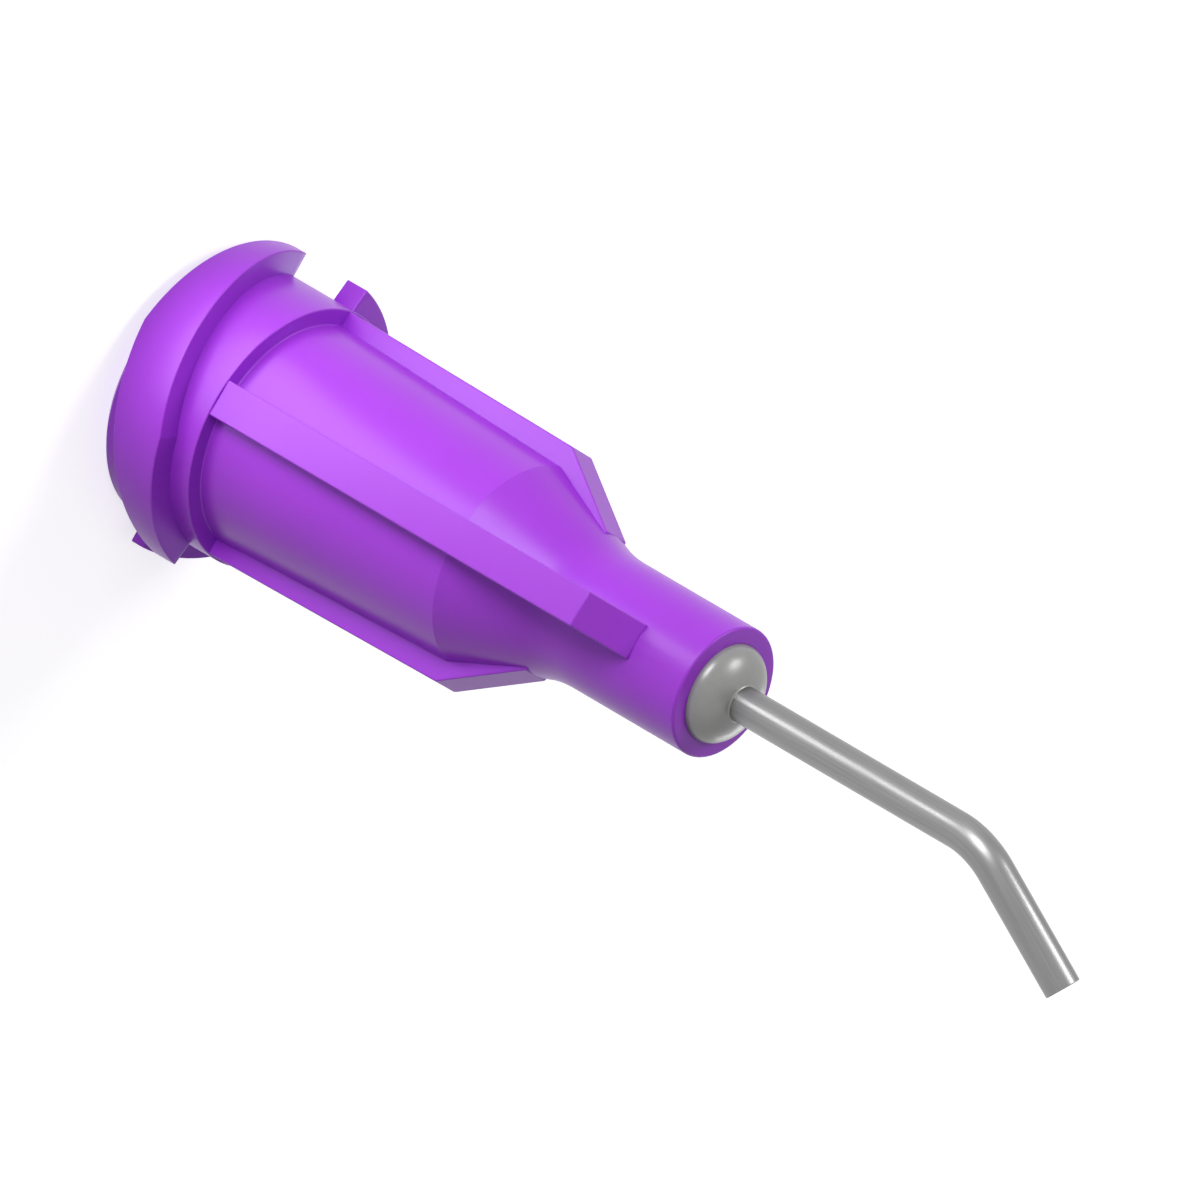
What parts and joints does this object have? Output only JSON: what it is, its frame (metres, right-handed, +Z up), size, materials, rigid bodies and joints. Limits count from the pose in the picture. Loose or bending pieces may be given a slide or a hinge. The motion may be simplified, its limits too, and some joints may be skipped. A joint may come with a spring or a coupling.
{
  "type": "dispensing needle tip",
  "caption": "Moulded purple hub with a female Luer lock, drafted ribs and a narrow nozzle, holding a steel needle bent at 45 degrees in a bead of grey adhesive.",
  "frame": {"origin": "centre of the open Luer end of the hub, on the plane that it stands on", "axes": "+Z up the hub's axis towards the needle, and the needle bends towards +X"},
  "size_m": [0.0078, 0.0078, 0.0285],
  "materials": {
    "hub_plastic": "purple moulded polypropylene with a satin gloss",
    "needle_steel": "drawn stainless steel tube, satin",
    "bead_adhesive": "cured grey adhesive with a glossy domed skin"
  },
  "bodies": {
    "root": {"hub": "hub_plastic", "needle": "needle_steel", "adhesive_bead": "bead_adhesive"}
  },
  "joints": []
}
